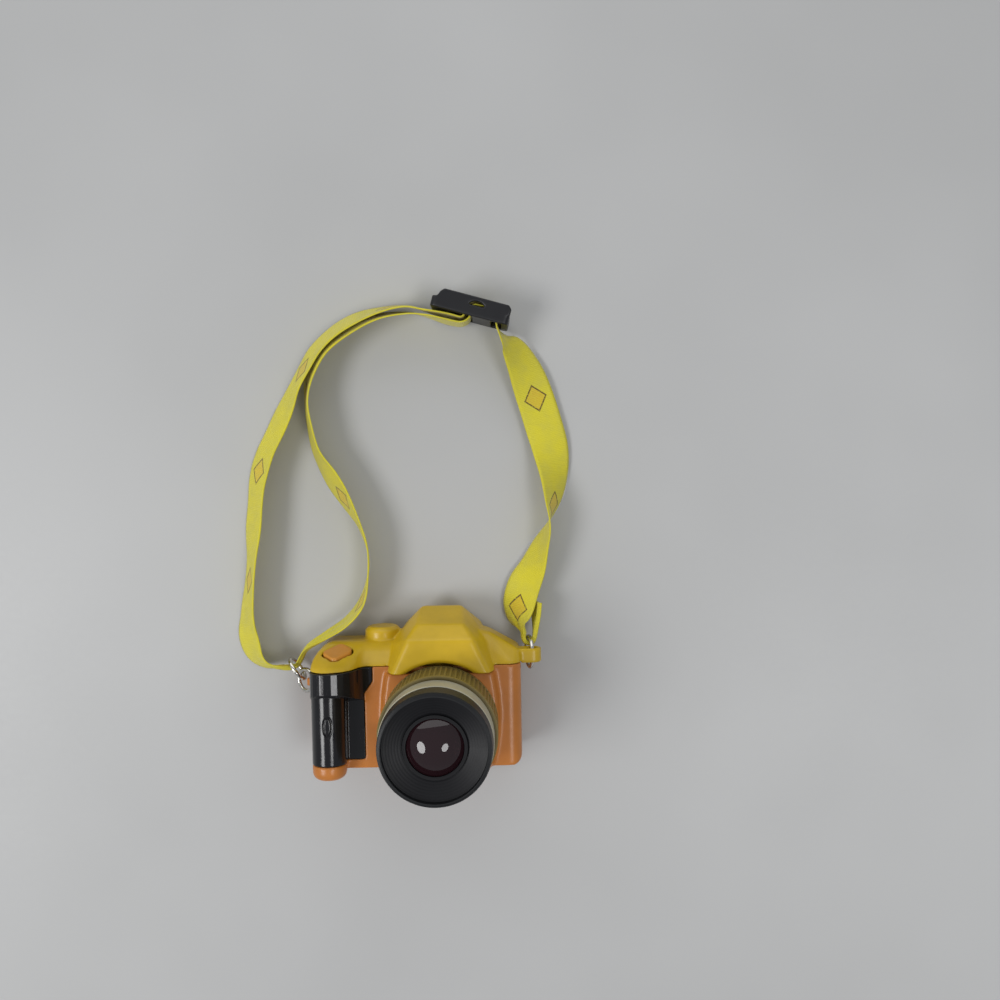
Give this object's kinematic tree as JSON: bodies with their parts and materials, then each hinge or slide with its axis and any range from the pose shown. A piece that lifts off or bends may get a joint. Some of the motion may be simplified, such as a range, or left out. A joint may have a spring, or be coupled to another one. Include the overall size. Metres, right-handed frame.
{
  "type": "toy camera",
  "caption": "toy camera with a picture disc inside that a sprung shutter button turns, an eyepiece at the back, a ribbed lens ring and a ribbon neck strap with a slider",
  "frame": {"origin": "centre of the base of the camera's box, lying on its back, with the strap left out", "axes": "+Z is the way the lens points, +Y is the camera's top, +X is right as seen from the front"},
  "size_m": [0.0834, 0.1182, 0.0413],
  "materials": {
    "shell_orange": "smooth moulded orange plastic",
    "cover_yellow": "smooth moulded yellow plastic",
    "grip_black": "glossy black plastic",
    "button_orange": "smooth moulded orange plastic",
    "wire_steel": "drawn spring wire",
    "disc_black": "thin black plastic",
    "film_tint": "tinted film",
    "hub_white": "natural white plastic",
    "screw_steel": "plated steel",
    "washer_black": "thin black plastic",
    "eyepiece_black": "black plastic",
    "lens_clear": "clear moulded lens",
    "barrel_black": "satin black plastic",
    "ring_olive": "satin olive plastic with ribs",
    "ring_cream": "smooth cream plastic",
    "bezel_black": "satin black plastic",
    "lens_plum": "dark tinted moulded dome",
    "ring_silver": "bright plated wire",
    "slider_black": "satin black plastic",
    "ribbon_yellow": "woven satin ribbon"
  },
  "bodies": {
    "camera": {"front_shell": "shell_orange", "rear_cover": "shell_orange", "top_cover": "cover_yellow", "grip_insert": "grip_black", "button_spring": "wire_steel", "pivot_screw": "screw_steel", "pivot_washer": "washer_black", "eyepiece_frame": "eyepiece_black", "eyepiece_lens": "lens_clear", "lens_barrel": "barrel_black", "trim_ring": "ring_cream", "lens_bezel": "bezel_black", "front_lens": "lens_plum", "body_screws": "screw_steel", "side_ring": "ring_silver", "strap_ring": "ring_silver", "lug_ring": "ring_silver", "strap_slider": "slider_black", "strap_ribbon": "ribbon_yellow"},
    "button": {"shutter_button": "button_orange"},
    "picture_wheel": {"picture_disc": "disc_black", "film_pictures": "film_tint", "ratchet_hub": "hub_white"},
    "lens_ring": {"zoom_ring": "ring_olive"}
  },
  "joints": [
    {"name": "button_press", "type": "slide", "parent": "camera", "child": "button", "axis": [0, -1, 0], "range_m": [0, 0.002], "stiffness_N_per_m": 400, "springref_m": -0.0005, "deforming": ["button_spring"]},
    {"name": "disc_turn", "type": "hinge", "parent": "camera", "child": "picture_wheel", "pos_m": [-0.00297, -0.00055, 0.0117], "axis": [0, 0, 1], "continuous": true},
    {"name": "lens_ring_turn", "type": "hinge", "parent": "camera", "child": "lens_ring", "pos_m": [0.00447, -0.00485, 0.024], "axis": [0, 0, 1], "continuous": true}
  ],
  "couplings": [
    {"joint": "disc_turn", "follows": "button_press", "rad_per_m": 392.7}
  ]
}
